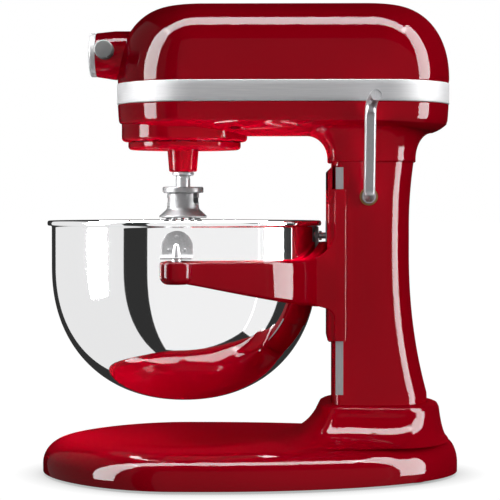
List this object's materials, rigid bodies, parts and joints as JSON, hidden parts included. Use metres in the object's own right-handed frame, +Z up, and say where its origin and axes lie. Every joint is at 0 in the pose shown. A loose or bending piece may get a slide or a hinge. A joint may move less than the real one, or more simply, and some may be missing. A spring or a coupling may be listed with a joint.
{
  "type": "bowl-lift stand mixer",
  "caption": "Stand mixer whose side lever raises and lowers a bowl cradle on its column, with a geared planetary whisk drive and a front attachment hub.",
  "frame": {"origin": "centre of the base's outline, at the height the feet stand on", "axes": "+Z up, -X towards the attachment hub, -Y towards the side with the bowl-lift lever"},
  "size_m": [0.37, 0.287, 0.4164],
  "materials": {
    "red_enamel": "high gloss enamel",
    "brushed_band": "brushed lengthwise",
    "polished_bowl": "mirror polished stainless steel",
    "satin_steel": "satin",
    "machined_steel": "machined",
    "bracket_alloy": "as cast",
    "bronze": "machined",
    "copper_wire": "lacquered",
    "laminations": "varnished laminations",
    "carbon": "matt",
    "rubber_foot": "matt",
    "black_plastic": "fine grain",
    "circuit_board": "lacquered board"
  },
  "bodies": {
    "stand": {"base_casting": "red_enamel", "rubber_feet": "rubber_foot", "casting_bolts": "machined_steel", "column_casting": "red_enamel", "slide_rails": "satin_steel", "lower_housing": "red_enamel", "upper_housing": "red_enamel", "trim_band": "brushed_band", "housing_screws": "machined_steel", "cord_inlet": "rubber_foot", "hub_nose": "red_enamel", "ring_gear": "machined_steel", "gearcase_bracket": "bracket_alloy", "shaft_bushes": "bronze", "motor_stator": "laminations", "field_coils": "copper_wire", "motor_brackets": "machined_steel", "tie_rods": "machined_steel", "motor_bearings": "machined_steel", "brush_holders": "bronze", "carbon_brushes": "carbon", "speed_switch": "black_plastic", "control_board": "circuit_board", "axle_bush": "bronze"},
    "planetary": {"planetary_housing": "red_enamel", "planetary_pin": "machined_steel", "beater_bush": "bronze", "centre_shaft": "machined_steel", "centre_gear": "machined_steel", "centre_bevel": "machined_steel"},
    "beater": {"beater_shaft": "machined_steel", "planet_pinion": "machined_steel", "beater_collar": "satin_steel", "drive_pin": "machined_steel", "whisk_hub": "satin_steel", "whisk_wires": "machined_steel"},
    "armature": {"motor_shaft": "machined_steel", "rotor_core": "laminations", "commutator": "copper_wire", "cooling_fan": "black_plastic", "worm": "machined_steel"},
    "worm_wheel": {"worm_gear": "bronze", "pinion_gear": "machined_steel", "gear_axle": "machined_steel"},
    "hub_drive": {"hub_drive_shaft": "machined_steel", "hub_bevel": "machined_steel"},
    "hub_cap": {"hub_cap": "brushed_band"},
    "attachment_knob": {"attachment_knob": "black_plastic"},
    "speed_lever": {"speed_lever": "black_plastic"},
    "lift_lever": {"lift_lever": "satin_steel", "lever_axle": "machined_steel", "lift_crank": "machined_steel", "crank_roller": "bronze"},
    "bowl_cradle": {"bowl_yoke": "red_enamel", "locating_pins": "machined_steel", "lift_carriage": "machined_steel", "latch_spring": "machined_steel", "bowl": "polished_bowl", "bowl_brackets": "satin_steel", "latch_stud": "machined_steel"}
  },
  "joints": [
    {"name": "planetary_spin", "type": "hinge", "parent": "stand", "child": "planetary", "pos_m": [-0.0585, 0, 0.29], "axis": [0, 0, 1], "continuous": true},
    {"name": "beater_spin", "type": "hinge", "parent": "planetary", "child": "beater", "pos_m": [-0.0585, -0.0255, 0.28], "axis": [0, 0, 1], "continuous": true},
    {"name": "worm_wheel_spin", "type": "hinge", "parent": "stand", "child": "worm_wheel", "pos_m": [-0.02633, 0.027, 0.345], "axis": [0, 0, 1], "continuous": true},
    {"name": "armature_spin", "type": "hinge", "parent": "stand", "child": "armature", "pos_m": [0.083, 0, 0.345], "axis": [1, 0, 0], "continuous": true},
    {"name": "hub_drive_spin", "type": "hinge", "parent": "stand", "child": "hub_drive", "pos_m": [-0.1, 0, 0.373], "axis": [1, 0, 0], "continuous": true},
    {"name": "hub_cap_pull", "type": "slide", "parent": "stand", "child": "hub_cap", "axis": [-1, 0, 0], "range_m": [0, 0.12]},
    {"name": "knob_turn", "type": "hinge", "parent": "stand", "child": "attachment_knob", "pos_m": [-0.1271, -0.03, 0.3752], "axis": [0, -1, 0], "range_deg": [0, 720]},
    {"name": "speed_lever_slide", "type": "slide", "parent": "stand", "child": "speed_lever", "axis": [1, 0, 0], "range_m": [0, 0.036]},
    {"name": "lift_lever_turn", "type": "hinge", "parent": "stand", "child": "lift_lever", "pos_m": [0.1044, -0.055, 0.2466], "axis": [0, 1, 0], "range_deg": [0, 100]},
    {"name": "cradle_lift", "type": "slide", "parent": "stand", "child": "bowl_cradle", "axis": [0, 0, -1], "range_m": [0, 0.036]}
  ],
  "couplings": [
    {"joint": "beater_spin", "follows": "planetary_spin", "ratio": -3.125},
    {"joint": "worm_wheel_spin", "follows": "planetary_spin", "ratio": -3},
    {"joint": "armature_spin", "follows": "planetary_spin", "ratio": 48},
    {"joint": "hub_drive_spin", "follows": "planetary_spin", "ratio": -2},
    {"joint": "cradle_lift", "follows": "lift_lever_turn", "m_per_rad": 0.020626}
  ]
}
